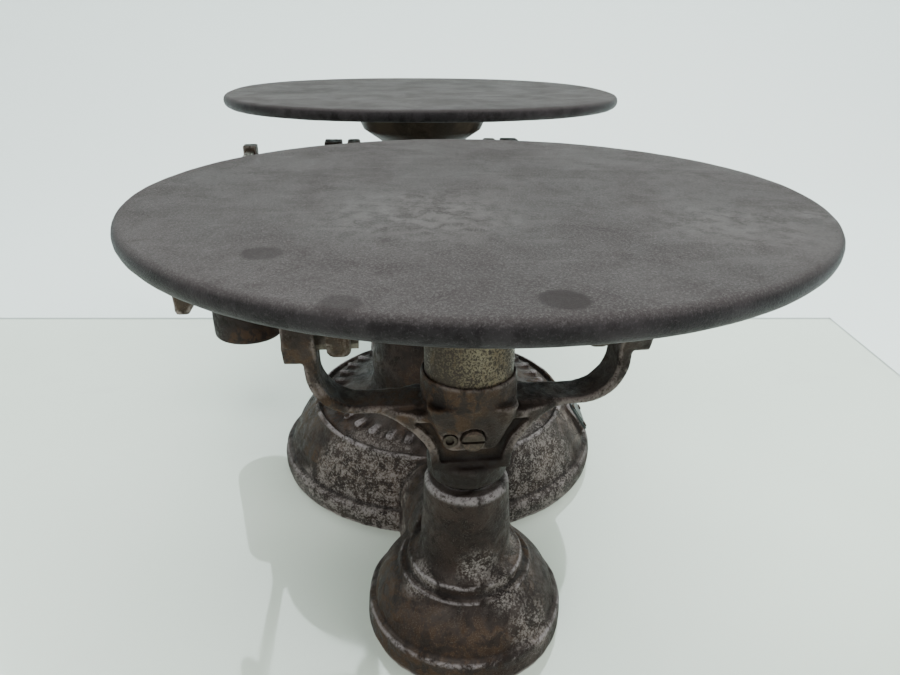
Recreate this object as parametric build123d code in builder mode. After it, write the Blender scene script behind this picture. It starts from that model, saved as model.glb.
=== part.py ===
from build123d import *
import math
import os

os.makedirs("parts", exist_ok=True)

# Equal arm counter scale: two plates on a parallel linkage over a three-footed cast base.
# Origin: floor level under the central column. X runs along the beam with the round plate
# at +X and the oblong plate at -X, the tare bar and its poise are at -Y, and Z is up.

# Linkage: four equal arms and two equal uprights make two exact parallelograms.
ARM = 155.0                 # central knife edge to each end knife edge
PIVOT_Z = 176.0             # central knife edge above the floor
ROD_Z = 26.0                # central stud of the check rod above the floor
REST_TILT = 2.2             # degrees, round plate down, where the beam rests on its stop
UPRIGHT = PIVOT_Z - ROD_Z   # end knife edge to the stem's lower pin
RUN = ARM * math.cos(math.radians(REST_TILT))
DROP = ARM * math.sin(math.radians(REST_TILT))

ON_BEAM = Location((0, 0, PIVOT_Z), (0, REST_TILT, 0))
ON_ROD = Location((0, 0, ROD_Z), (0, REST_TILT, 0))
ENDS = {
    "round": Location((RUN, 0, PIVOT_Z - DROP)),
    "oblong": Location((-RUN, 0, PIVOT_Z + DROP), (0, 0, 180)),
}

# Widths across the scale, all measured from its centre plane.
RAIL_IN, RAIL_OUT = 52.0, 62.5      # beam rails
EAR_IN, EAR_OUT = 67.0, 81.0        # bearing ears of the base and of the carriers
KNIFE_IN, KNIFE_OUT = 49.0, 79.0    # knife edges
STEEL_IN, STEEL_OUT = 69.0, 80.0    # bearing steels

# Base casting. The centre foot is an oval, a little longer across the scale than along it.
FOOT_BAND = ((0.0, 98.5, 111.0), (4.5, 99.3, 111.8), (12.6, 98.6, 111.0), (14.0, 97.4, 110.0))
FOOT_SKIRT = ((13.5, 94.8, 107.2), (24.0, 93.6, 103.0), (35.0, 91.0, 97.0), (44.5, 86.5, 89.0))
FOOT_BEAD = ((44.5, 86.5, 89.0), (47.2, 86.0, 88.4), (48.0, 85.2, 87.6))
FOOT_ROOM = ((-1.0, 91.0, 103.0), (12.0, 89.5, 101.5), (24.0, 87.5, 96.5), (39.5, 78.0, 81.0))
BELL_R = 51.0
NECK_TOP = 88.0
NECK_BORE = 13.0
WEB_TOP = 6.0               # cross web on the floor under the stud
STUD_R = 3.0
CHEEK_IN, CHEEK_OUT = 6.0, 13.0
EAR_HALF = 13.0
SLOT_HALF = 7.2
SEAT_DEPTH = 12.0           # bearing seat below the knife edge

# Carriers, measured from the end knife edge, which is their local origin.
STRAP_HALF = 9.0
STRAP_TOP, STRAP_BOTTOM = -36.8, -40.0
RIM_TOP = -22.5
BARREL_R = 22.4
SOCKET_R = 20.6
SOCKET_FLOOR = -32.0
STEM_TOP = -36.0
COLLAR_TOP, COLLAR_BOTTOM = -67.0, -79.0
COLLAR_R = 19.5
WEB_HALF = 12.2
RIM_HALF = 15.0
SCREW_FACE = 16.6
SCREW_Z = -49.8
SCREW_R = 5.2
DOWEL_Y, DOWEL_R = -10.4, 3.2
STEM_R = 6.0

# Plates, measured from the same local origin.
ROUND_R = 133.35            # 10 1/2 inch plate
OBLONG_X, OBLONG_Y = 141.0, 154.0
OBLONG_POWER = 2.3
PLATE_UNDER, PLATE_TOP = 50.1, 58.3
POST_R = 20.4
POST_TOP = 22.0
NECK_LOW = 4.0

# Tare bar and poise, in the beam's own frame.
BAR_Y = -143.0
BAR_THICK, BAR_TALL = 6.0, 22.0
BAR_NEAR, BAR_FAR = 59.0, -156.0
POISE_X = -70.0
POISE_R = 26.5
POISE_HANG = -21.5          # hanger pin below the middle of the bar
STIRRUP_TOP = 14.5
WEIGHT_BOTTOM = 67.5        # above the floor
NUT_X = 46.0


def save(part, node):
    """Label one finished piece and write it as its own node."""
    part.label = node
    export_step(part, f"parts/{node}.step")


def across(y):
    """Plane that faces along Y, at the given distance from the centre plane."""
    return Plane.XZ.offset(-y)


def knife_section(up):
    """Wedge whose edge lies on the local origin: up is 1 for an edge on top, -1 for one below."""
    with BuildLine() as outline:
        Polyline((0, 0), (4, -7 * up), (4, -9.5 * up), (-4, -9.5 * up), (-4, -7 * up), close=True)
    return make_face(outline.edges(), mode=Mode.PRIVATE)


def steel_section(up):
    """Bearing steel with an open vee: up is 1 for a vee that faces up, -1 for one that faces down."""
    vee = 0.05
    rise = 4.1
    half = SLOT_HALF - 0.1
    foot = -SEAT_DEPTH if up > 0 else -8.0
    with BuildLine() as outline:
        Polyline(
            (0, -vee * up),
            (half, (rise - vee) * up),
            (half, foot * up),
            (-half, foot * up),
            (-half, (rise - vee) * up),
            close=True,
        )
    return make_face(outline.edges(), mode=Mode.PRIVATE)


# ---------------------------------------------------------------- base

def oval_loft(rings, mode=Mode.ADD):
    """Solid through a stack of level ovals, each given as height, half length and half width."""
    with BuildPart(mode=Mode.PRIVATE) as stack:
        for height, half_x, half_y in rings:
            with BuildSketch(Plane.XY.offset(height)):
                Ellipse(half_x, half_y)
        loft()
    add(stack.part, mode=mode)


def column_profile():
    """Half section of the shoulder of the centre foot and its bulging column."""
    with BuildLine() as outline:
        Polyline((0, 30), (83.0, 30), (83.0, 46.5), (53.0, 57.0))
        Spline((53.0, 57.0), (47.0, 62.0), (46.8, 74.0), (43.8, 90.0), (36.0, 105.0), (22.0, 113.0))
        Polyline((22.0, 113.0), (0, 114.0), (0, 30))
    make_face(outline.edges())


def column_hollow():
    """Half section of the space above the room of the centre foot, up inside the column."""
    with BuildLine() as outline:
        Polyline((0, 38), (77.0, 38), (77.0, 40), (47.0, 50.5))
        Spline((47.0, 50.5), (40.0, 60.0), (40.5, 74.0), (37.5, 89.0), (28.0, 101.0))
        Polyline((28.0, 101.0), (0, 103.0), (0, 38))
    make_face(outline.edges())


def bell_profile():
    """Half section of an end foot: a banded round bell below, two beads, a plain neck above."""
    with BuildLine() as outline:
        Polyline((0, 0), (BELL_R, 0), (BELL_R + 0.4, 4.0), (50.8, 13.4), (49.8, 14.8), (47.4, 15.2))
        ThreePointArc((47.4, 15.2), (43.4, 26.0), (34.6, 34.6))
        Polyline((34.6, 34.6), (34.1, 36.4), (32.6, 36.8), (31.0, 36.0))
        ThreePointArc((31.0, 36.0), (29.9, 37.6), (29.9, 40.2))
        Polyline((29.9, 40.2), (29.2, 42.0), (27.6, 42.2))
        ThreePointArc((27.6, 42.2), (24.0, 45.6), (22.9, 52.0))
        Polyline((22.9, 52.0), (20.9, NECK_TOP - 2), (19.4, NECK_TOP), (0, NECK_TOP), (0, 0))
    make_face(outline.edges())


def bell_hollow():
    """Half section of the space inside an end foot, with the bore for the stem."""
    with BuildLine() as outline:
        Polyline((0, -1), (44.5, -1), (43.5, 7.0))
        ThreePointArc((43.5, 7.0), (39.0, 18.0), (30.0, 27.0))
        Polyline((30.0, 27.0), (17.5, 42.0), (NECK_BORE, 50.0))
        Polyline((NECK_BORE, 50.0), (NECK_BORE, NECK_TOP + 1), (0, NECK_TOP + 1), (0, -1))
    make_face(outline.edges())


def bridge_section(width, height):
    """Arched cross-section of a bridge between the centre foot and an end foot."""
    with BuildLine() as outline:
        Polyline((-width, 0), (width, 0), (width - 2, height * 0.35))
        Spline(
            (width - 2, height * 0.35),
            (width * 0.76, height * 0.78),
            (width * 0.3, height * 0.99),
            (-width * 0.3, height * 0.99),
            (-width * 0.76, height * 0.78),
            (-width + 2, height * 0.35),
        )
        Line((-width + 2, height * 0.35), (-width, 0))
    make_face(outline.edges())


def horn_section():
    """Cross-section of the yoke: it leaves the column and turns up to one bearing ear."""
    bend_y = 47.0
    bend_z = 128.0
    inner = EAR_IN - bend_y
    outer = inner + 12.0
    with BuildLine() as outline:
        Line((0, bend_z - inner), (bend_y, bend_z - inner))
        CenterArc((bend_y, bend_z), inner, -90, 90)
        Polyline((EAR_IN, bend_z), (EAR_IN, 160.0), (bend_y + outer, 152.0), (bend_y + outer, bend_z))
        CenterArc((bend_y, bend_z), outer, -90, 90)
        Polyline((bend_y, bend_z - outer), (0, bend_z - outer), (0, bend_z - inner))
    make_face(outline.edges())


def plate_pad_plane(stand_off):
    """Plane on the skirt of the centre foot that faces outward, for the blank plate."""
    heading = math.radians(84.0)
    lean = math.radians(33.0)
    out = Vector(math.cos(heading), math.sin(heading), 0)
    normal = Vector(out.X * math.cos(lean), out.Y * math.cos(lean), math.sin(lean))
    centre = Vector(out.X * 100.0, out.Y * 100.0, 33.0) + normal * stand_off
    return Plane(origin=centre, x_dir=(-out.Y, out.X, 0), z_dir=normal)


with BuildPart() as base:
    oval_loft(FOOT_BAND)
    oval_loft(FOOT_SKIRT)
    oval_loft(FOOT_BEAD)
    with BuildSketch(Plane.XY.offset(44.5)):
        Ellipse(83.4, 85.8)
    extrude(amount=4.0, mode=Mode.SUBTRACT)
    with BuildSketch(Plane.XZ):
        column_profile()
    revolve(axis=Axis.Z)
    for end in (-1, 1):
        foot = Plane(origin=(end * ARM, 0, 0), x_dir=(1, 0, 0), z_dir=(0, -1, 0))
        with BuildSketch(foot):
            bell_profile()
        revolve(axis=Axis((end * ARM, 0, 0), (0, 0, 1)))
        with BuildSketch(Plane(origin=(end * 78.0, 0, 0), x_dir=(0, end, 0), z_dir=(end, 0, 0))):
            bridge_section(34.0, 46.0)
        with BuildSketch(Plane(origin=(end * 142.0, 0, 0), x_dir=(0, end, 0), z_dir=(end, 0, 0))):
            bridge_section(30.0, 67.0)
        loft()
    # yoke: two horns and their bearing ears
    with BuildSketch(Plane.YZ):
        horn_section()
        mirror(about=Plane.YZ)
    extrude(amount=EAR_HALF, both=True)
    for side in (-1, 1):
        with BuildSketch(across(side * EAR_IN)):
            with BuildLine():
                Polyline((-9.5, 150), (9.5, 150), (EAR_HALF, 162), (EAR_HALF, 184), (10, 190),
                         (-10, 190), (-EAR_HALF, 184), (-EAR_HALF, 162), close=True)
            make_face()
        extrude(amount=-side * (EAR_OUT - EAR_IN))
    # raised darts cast around the shoulder of the centre foot
    with BuildSketch(Plane.XY.offset(40.0)):
        with PolarLocations(69.0, 36):
            RectangleRounded(15.0, 5.0, 2.0)
    extrude(amount=13.4)
    # flat pad for the blank plate
    with BuildSketch(plate_pad_plane(-8.0)):
        RectangleRounded(34.0, 27.0, 3.0)
    extrude(amount=8.0)
    # the casting is a shell: hollow feet, a stem bore in each neck and a tunnel for the rod
    oval_loft(FOOT_ROOM, mode=Mode.SUBTRACT)
    with BuildSketch(Plane.XZ):
        column_hollow()
    revolve(axis=Axis.Z, mode=Mode.SUBTRACT)
    for end in (-1, 1):
        foot = Plane(origin=(end * ARM, 0, 0), x_dir=(1, 0, 0), z_dir=(0, -1, 0))
        with BuildSketch(foot):
            bell_hollow()
        revolve(axis=Axis((end * ARM, 0, 0), (0, 0, 1)), mode=Mode.SUBTRACT)
    with BuildSketch(Plane.XY.offset(-1)):
        Rectangle(2 * ARM - 20, 32.0)
    extrude(amount=42.0, mode=Mode.SUBTRACT)
    # cheeks for the stud, joined to the roof of the hollow, and the web on the floor
    for side in (-1, 1):
        with BuildSketch(across(side * CHEEK_IN)):
            with BuildLine():
                Polyline((-9, 16), (9, 16), (16, 104), (-16, 104), close=True)
            make_face()
        extrude(amount=-side * (CHEEK_OUT - CHEEK_IN))
    with BuildSketch(Plane.XY):
        Rectangle(18.0, 2 * FOOT_BAND[0][2] - 8)
    extrude(amount=WEB_TOP)
    with Locations(Plane(origin=(0, 0, ROD_Z), z_dir=(0, 1, 0))):
        Hole(radius=STUD_R, depth=30.0)
    with Locations(Plane(origin=(0, 0, ROD_Z), z_dir=(0, -1, 0))):
        Hole(radius=STUD_R, depth=30.0)
    # slots in the ears for the bearing steels, open at the top
    for side in (-1, 1):
        with BuildSketch(across(side * (EAR_IN - 1))):
            with Locations((0, PIVOT_Z - SEAT_DEPTH + 20)):
                Rectangle(2 * SLOT_HALF, 40.0)
        extrude(amount=-side * (EAR_OUT - EAR_IN + 2), mode=Mode.SUBTRACT)
save(base.part, "base_casting")

for side, hand in ((-1, "left"), (1, "right")):
    with BuildPart() as steel:
        with BuildSketch(across(side * STEEL_IN)):
            with Locations((0, PIVOT_Z)):
                add(steel_section(1))
        extrude(amount=-side * (STEEL_OUT - STEEL_IN))
    save(steel.part, f"{hand}_fulcrum_steel")

with BuildPart() as stud:
    with BuildSketch(Plane(origin=(0, -CHEEK_OUT, ROD_Z), z_dir=(0, 1, 0))):
        Circle(STUD_R - 0.02)
    extrude(amount=2 * CHEEK_OUT)
    with BuildSketch(Plane(origin=(0, CHEEK_OUT + 3.5, ROD_Z), z_dir=(0, -1, 0))):
        Circle(5.5)
    extrude(amount=3.5)
save(stud.part, "rod_stud")

with BuildPart() as blank_plate:
    with BuildSketch(plate_pad_plane(0)):
        RectangleRounded(30.0, 23.0, 2.0)
    extrude(amount=1.6)
    with BuildSketch(plate_pad_plane(1.6)):
        RectangleRounded(24.0, 12.0, 1.0)
    extrude(amount=0.5)
    with BuildSketch(plate_pad_plane(1.6)):
        with GridLocations(24.0, 17.0, 2, 2):
            Circle(1.2)
    extrude(amount=-1.6, mode=Mode.SUBTRACT)
save(blank_plate.part, "blank_plate")

with BuildPart() as plate_rivets:
    with BuildSketch(plate_pad_plane(0)):
        with GridLocations(24.0, 17.0, 2, 2):
            Circle(1.18)
    extrude(amount=1.6)
    with BuildSketch(plate_pad_plane(1.6)):
        with GridLocations(24.0, 17.0, 2, 2):
            Circle(2.1)
    extrude(amount=1.0)
    chamfer(plate_rivets.faces().filter_by(lambda f: f.area > 13.0).edges(), length=0.4)
save(plate_rivets.part, "blank_plate_rivets")

# ---------------------------------------------------------------- beam, in its own frame

def rail_section():
    """Side view of one beam rail: deep at the fulcrum, with a tall tapered lug at each end."""
    with BuildLine() as outline:
        Polyline((-150, -7), (-24, -13), (24, -13), (150, -7), (150, 7), (24, 18), (-24, 18),
                 (-150, 7), close=True)
    make_face(outline.edges())
    for end in (-1, 1):
        with BuildLine() as outline:
            Polyline((end * ARM - 8.5, -11.5), (end * ARM + 8.5, -11.5), (end * ARM + 11.5, -3),
                     (end * ARM + 11.5, 12), (end * ARM + 8.5, 19), (end * ARM - 8.5, 19),
                     (end * ARM - 11.5, 12), (end * ARM - 11.5, -3), close=True)
        make_face(outline.edges())
    add(knife_section(-1), mode=Mode.SUBTRACT)
    for end in (-1, 1):
        with Locations((end * ARM, 0)):
            add(knife_section(1), mode=Mode.SUBTRACT)


with BuildPart() as beam:
    for side in (-1, 1):
        with BuildSketch(across(side * RAIL_IN)):
            rail_section()
        extrude(amount=-side * (RAIL_OUT - RAIL_IN))
    with BuildSketch(Plane.XY.offset(-6)):
        with Locations((-95, 0), (95, 0)):
            Rectangle(12.0, 2 * RAIL_IN + 2)
    extrude(amount=12.0)
    with BuildSketch(Plane.XY.offset(-12.5)):
        Rectangle(18.0, 2 * RAIL_IN + 2)
    extrude(amount=11.5)
    with Locations(Plane(origin=(101, 0, 0), z_dir=(1, 0, 0))):
        Hole(radius=4.0, depth=20.0)
    # bevels along the feet of the end lugs
    for end in (-1, 1):
        with BuildSketch(Plane.YZ.offset(end * ARM - 13)):
            with Locations((RAIL_IN, -11.5), (RAIL_OUT, -11.5), (-RAIL_IN, -11.5), (-RAIL_OUT, -11.5)):
                Rectangle(3.1, 3.1, rotation=45)
        extrude(amount=26.0, mode=Mode.SUBTRACT)
save(beam.part.moved(ON_BEAM), "beam_casting")

for side, hand in ((-1, "left"), (1, "right")):
    with BuildPart() as knife:
        with BuildSketch(across(side * KNIFE_IN)):
            add(knife_section(-1))
        extrude(amount=-side * (KNIFE_OUT - KNIFE_IN))
    save(knife.part.moved(ON_BEAM), f"{hand}_fulcrum_knife")

for end, plate in ((1, "round"), (-1, "oblong")):
    with BuildPart() as end_knives:
        for side in (-1, 1):
            with BuildSketch(across(side * KNIFE_IN)):
                with Locations((end * ARM, 0)):
                    add(knife_section(1))
            extrude(amount=-side * (KNIFE_OUT - KNIFE_IN))
    save(end_knives.part.moved(ON_BEAM), f"{plate}_end_knives")

with BuildPart() as balance_screw:
    with BuildSketch(Plane(origin=(20, 0, 0), z_dir=(1, 0, 0))):
        Circle(3.98)
    extrude(amount=81.0)
    with BuildSketch(Plane(origin=(101, 0, 0), z_dir=(1, 0, 0))):
        RegularPolygon(radius=7.5, side_count=6)
    extrude(amount=5.0)
save(balance_screw.part.moved(ON_BEAM), "balance_screw")

with BuildPart() as balance_nut:
    with BuildSketch(Plane(origin=(NUT_X - 7, 0, 0), z_dir=(1, 0, 0))):
        Circle(13.0)
        with PolarLocations(13.0, 24):
            Circle(0.9, mode=Mode.SUBTRACT)
        Circle(4.03, mode=Mode.SUBTRACT)
    extrude(amount=14.0)
save(balance_nut.part.moved(ON_BEAM), "balance_nut")

# ---------------------------------------------------------------- tare bar, in the beam's frame

with BuildPart() as tare_bar:
    with BuildSketch(Plane(origin=(BAR_FAR, BAR_Y, 0), x_dir=(0, 1, 0), z_dir=(1, 0, 0))):
        RectangleRounded(BAR_THICK, BAR_TALL, 1.0)
    extrude(amount=BAR_NEAR - BAR_FAR)
    # graduation notches along the top edge
    notch_count = 31
    with Locations(Location((-42, BAR_Y, BAR_TALL / 2))):
        with GridLocations(4.0, 1.0, notch_count, 1):
            Box(0.7, BAR_THICK + 1, 1.6, mode=Mode.SUBTRACT)
save(tare_bar.part.moved(ON_BEAM), "tare_bar")


def lug_outline():
    """End view of a lug on the tare bar, narrower below."""
    with BuildLine() as outline:
        Polyline((-10, 15), (4, 15), (4, -21), (3, -23.5), (-2.7, -32.5), (-9.3, -32.5), (-10, -30),
                 close=True)
    make_face(outline.edges())


with BuildPart() as near_bracket:
    with BuildSketch(Plane(origin=(BAR_NEAR, BAR_Y, 0), x_dir=(0, 1, 0), z_dir=(1, 0, 0))):
        lug_outline()
    extrude(amount=10.0)
    with BuildSketch(across(-RAIL_OUT)):
        with Locations((BAR_NEAR + 5, 0)):
            Rectangle(34.0, 15.0)
    extrude(amount=4.0)
    with BuildSketch(across(-RAIL_OUT - 4)):
        with Locations((BAR_NEAR + 5, 0)):
            Rectangle(9.0, 14.0)
    extrude(amount=-BAR_Y - RAIL_OUT - 4 - 3)
    fillet(near_bracket.edges().filter_by(Axis.X).group_by(Axis.Z)[0], radius=1.5)
save(near_bracket.part.moved(ON_BEAM), "near_bar_bracket")

with BuildPart() as far_bracket:
    with BuildSketch(across(-RAIL_OUT)):
        with Locations((-108, 0)):
            Rectangle(34.0, 15.0)
    extrude(amount=4.0)
    with BuildSketch(across(-RAIL_OUT - 4)):
        with Locations((-108, 0)):
            Rectangle(9.0, 14.0)
    extrude(amount=-BAR_Y - BAR_THICK / 2 - RAIL_OUT - 4)
save(far_bracket.part.moved(ON_BEAM), "far_bar_bracket")

with BuildPart() as bar_end_stop:
    with BuildSketch(Plane(origin=(BAR_FAR, BAR_Y, 0), x_dir=(0, 1, 0), z_dir=(-1, 0, 0))):
        with BuildLine():
            Polyline((-5.5, -15), (5.5, -15), (5.5, 10), (3.6, 17), (-3.6, 17), (-5.5, 10), close=True)
        make_face()
    extrude(amount=10.0)
save(bar_end_stop.part.moved(ON_BEAM), "bar_end_stop")

with BuildPart() as bracket_screws:
    for foot_x in (BAR_NEAR + 5, -108.0):
        with BuildSketch(across(-RAIL_OUT - 4)):
            with Locations((foot_x - 11, 0), (foot_x + 11, 0)):
                Circle(4.2)
        extrude(amount=2.6)
        with BuildSketch(across(-RAIL_OUT - 4)):
            with Locations((foot_x - 11, 0), (foot_x + 11, 0)):
                Rectangle(1.2, 8.6)
        extrude(amount=2.6)
    with BuildSketch(across(BAR_Y - BAR_THICK / 2)):
        with Locations((-108, 0)):
            Circle(4.2)
    extrude(amount=2.6)
save(bracket_screws.part.moved(ON_BEAM), "bracket_screws")

# ---------------------------------------------------------------- poise

with BuildPart() as poise_stirrup:
    with BuildSketch(Plane(origin=(POISE_X - 8, BAR_Y, 0), x_dir=(0, 1, 0), z_dir=(1, 0, 0))):
        with BuildLine():
            Polyline((-8, -15), (8, -15), (8, 11), (5, STIRRUP_TOP), (-5, STIRRUP_TOP), (-8, 11), close=True)
        make_face()
        Rectangle(BAR_THICK + 0.8, BAR_TALL + 0.8, mode=Mode.SUBTRACT)
    extrude(amount=16.0)
    with BuildSketch(across(BAR_Y + 4)):
        with Locations((POISE_X, POISE_HANG + 1)):
            Rectangle(10.0, 12.0)
        with Locations((POISE_X, POISE_HANG)):
            Circle(5.0)
    extrude(amount=8.0)
    with BuildSketch(across(BAR_Y + 5)):
        with Locations((POISE_X, POISE_HANG)):
            Circle(2.55)
    extrude(amount=10.0, mode=Mode.SUBTRACT)
    with BuildSketch(Plane.XY.offset(BAR_TALL / 2)):
        with Locations((POISE_X, BAR_Y)):
            Circle(2.0)
    extrude(amount=10.0, mode=Mode.SUBTRACT)
save(poise_stirrup.part.moved(ON_BEAM), "poise_stirrup")

with BuildPart() as thumb_screw:
    with BuildSketch(Plane.XY.offset(BAR_TALL / 2 + 0.1)):
        with Locations((POISE_X, BAR_Y)):
            Circle(1.98)
    extrude(amount=5.0)
    with BuildSketch(Plane.XY.offset(STIRRUP_TOP + 0.2)):
        with Locations((POISE_X, BAR_Y)):
            Circle(6.0)
            with PolarLocations(6.0, 16):
                Circle(0.6, mode=Mode.SUBTRACT)
    extrude(amount=4.6)
save(thumb_screw.part.moved(ON_BEAM), "poise_thumb_screw")

# The weight hangs plumb from the stirrup's pin, so it is built about that pin.
HANG_PIN = (ON_BEAM * Location((POISE_X, BAR_Y, POISE_HANG))).position

with BuildPart() as poise_pin:
    with BuildSketch(Plane(origin=HANG_PIN + Vector(0, -9.5, 0), z_dir=(0, 1, 0))):
        Circle(2.5)
    extrude(amount=19.0)
save(poise_pin.part, "poise_pin")

WEIGHT_TOP = HANG_PIN.Z - 7.0

with BuildPart() as poise_weight:
    with BuildSketch(Plane.XY.offset(WEIGHT_BOTTOM)):
        with Locations((HANG_PIN.X, HANG_PIN.Y)):
            Circle(POISE_R)
    extrude(amount=WEIGHT_TOP - WEIGHT_BOTTOM)
    fillet(poise_weight.edges().group_by(Axis.Z)[0], radius=3.5)
    fillet(poise_weight.edges().group_by(Axis.Z)[-1], radius=5.0)
    for side in (-1, 1):
        with BuildSketch(across(HANG_PIN.Y + side * 4.5)):
            with Locations((HANG_PIN.X, HANG_PIN.Z)):
                Circle(5.0)
            with Locations((HANG_PIN.X, (HANG_PIN.Z + WEIGHT_TOP) / 2 - 1)):
                Rectangle(10.0, HANG_PIN.Z - WEIGHT_TOP + 2)
        extrude(amount=-side * 4.5)
    with BuildSketch(Plane(origin=HANG_PIN + Vector(0, -10, 0), z_dir=(0, 1, 0))):
        Circle(2.52)
    extrude(amount=20.0, mode=Mode.SUBTRACT)
save(poise_weight.part, "poise_weight")

# ---------------------------------------------------------------- carriers, origin at the end knife edge

def strap_section():
    """Cross-section of one carrier arm: level from the hub, then thicker as it bends up to its ear."""
    inner = 18.0
    inner_y = EAR_IN - inner
    inner_z = STRAP_TOP + inner
    outer = 22.0
    side = EAR_IN + 5.8
    outer_y = side - outer
    outer_z = STRAP_BOTTOM + outer
    with BuildLine() as outline:
        Line((12, STRAP_TOP), (inner_y, STRAP_TOP))
        CenterArc((inner_y, inner_z), inner, -90, 90)
        Polyline((EAR_IN, inner_z), (EAR_IN, -12), (side, -12), (side, outer_z))
        CenterArc((outer_y, outer_z), outer, -90, 90)
        Polyline((outer_y, STRAP_BOTTOM), (12, STRAP_BOTTOM), (12, STRAP_TOP))
    make_face(outline.edges())


WEB_SIDE = ((46, -38.5), (42, -40.6), (38, -41.7), (34, -43.2), (29.5, -45.9), (25.3, -49.3),
            (22.0, -53.2), (19.8, -57.4), (18.6, -62.4), (18.2, -68.5))


def web_section():
    """Front view of the web that joins both arms to the collar."""
    right = list(WEB_SIDE)
    left = [(-y, z) for y, z in reversed(right)]
    with BuildLine() as outline:
        Polyline(*right, *left, close=True)
    make_face(outline.edges())


def hub_taper(strap_half, hub_half):
    """Plan of a rib that is thicker at the hub than out along the arms."""
    with BuildLine() as outline:
        Polyline((-strap_half, -48), (strap_half, -48), (strap_half, -40), (hub_half, -24),
                 (hub_half, 24), (strap_half, 40), (strap_half, 48), (-strap_half, 48),
                 (-strap_half, 40), (-hub_half, 24), (-hub_half, -24), (-strap_half, -40),
                 close=True)
    make_face(outline.edges())


def hub_profile():
    """Half section of the hub: a socket barrel that narrows to a waist above the collar."""
    with BuildLine() as outline:
        Polyline((0, RIM_TOP), (BARREL_R - 1, RIM_TOP), (BARREL_R - 0.3, RIM_TOP - 0.8),
                 (BARREL_R, -33.5))
        Spline((BARREL_R, -33.5), (20.0, -40.0), (16.0, -49.0), (13.6, -57.0), (13.2, COLLAR_TOP - 1))
        Polyline((13.2, COLLAR_TOP - 1), (0, COLLAR_TOP - 1), (0, RIM_TOP))
    make_face(outline.edges())


def collar_profile():
    """Half section of the collar with its rounded lower lip."""
    with BuildLine() as outline:
        Polyline((0, COLLAR_TOP), (COLLAR_R - 1.4, COLLAR_TOP), (COLLAR_R, COLLAR_TOP - 1.4),
                 (COLLAR_R, COLLAR_BOTTOM + 4))
        ThreePointArc((COLLAR_R, COLLAR_BOTTOM + 4), (COLLAR_R - 1.2, COLLAR_BOTTOM + 1.2),
                      (COLLAR_R - 4, COLLAR_BOTTOM))
        Polyline((COLLAR_R - 4, COLLAR_BOTTOM), (0, COLLAR_BOTTOM), (0, COLLAR_TOP))
    make_face(outline.edges())


with BuildPart() as boss:
    # block on the front and back of the hub that carries the screw
    with BuildSketch(Plane.YZ):
        with BuildLine():
            Polyline((-20.5, -33), (20.5, -33), (18.4, -42), (12.5, -57), (-12.5, -57),
                     (-18.4, -42), close=True)
        make_face()
    extrude(amount=24.0, both=True)
    with BuildSketch(Plane.XZ):
        with BuildLine():
            Polyline((-21.6, -33), (21.6, -33), (21.2, -37), (16.9, -57), (-16.9, -57), (-21.2, -37),
                     close=True)
        make_face()
    extrude(amount=24.0, both=True, mode=Mode.INTERSECT)
    corners = boss.edges().filter_by(lambda e: abs(e.center().X) > 12 and abs(e.center().Y) > 10)
    fillet(corners, radius=6.0)

with BuildPart() as web_rim:
    # raised rim along the curved sides of the web, deeper where it nears the hub
    with BuildSketch(Plane.YZ):
        web_section()
    extrude(amount=RIM_HALF, both=True)
    with BuildSketch(Plane.YZ):
        web_section()
        offset(amount=-4.0, mode=Mode.REPLACE)
    extrude(amount=RIM_HALF, both=True, mode=Mode.SUBTRACT)
    with BuildSketch(Plane.XY.offset(COLLAR_BOTTOM)):
        hub_taper(STRAP_HALF - 0.6, RIM_HALF)
    extrude(amount=STRAP_TOP - COLLAR_BOTTOM, mode=Mode.INTERSECT)

with BuildPart() as web:
    with BuildSketch(Plane.YZ):
        web_section()
    extrude(amount=WEB_HALF, both=True)
    with BuildSketch(Plane.XY.offset(COLLAR_BOTTOM)):
        hub_taper(STRAP_HALF - 1.0, WEB_HALF)
    extrude(amount=STRAP_TOP - COLLAR_BOTTOM, mode=Mode.INTERSECT)

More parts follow.
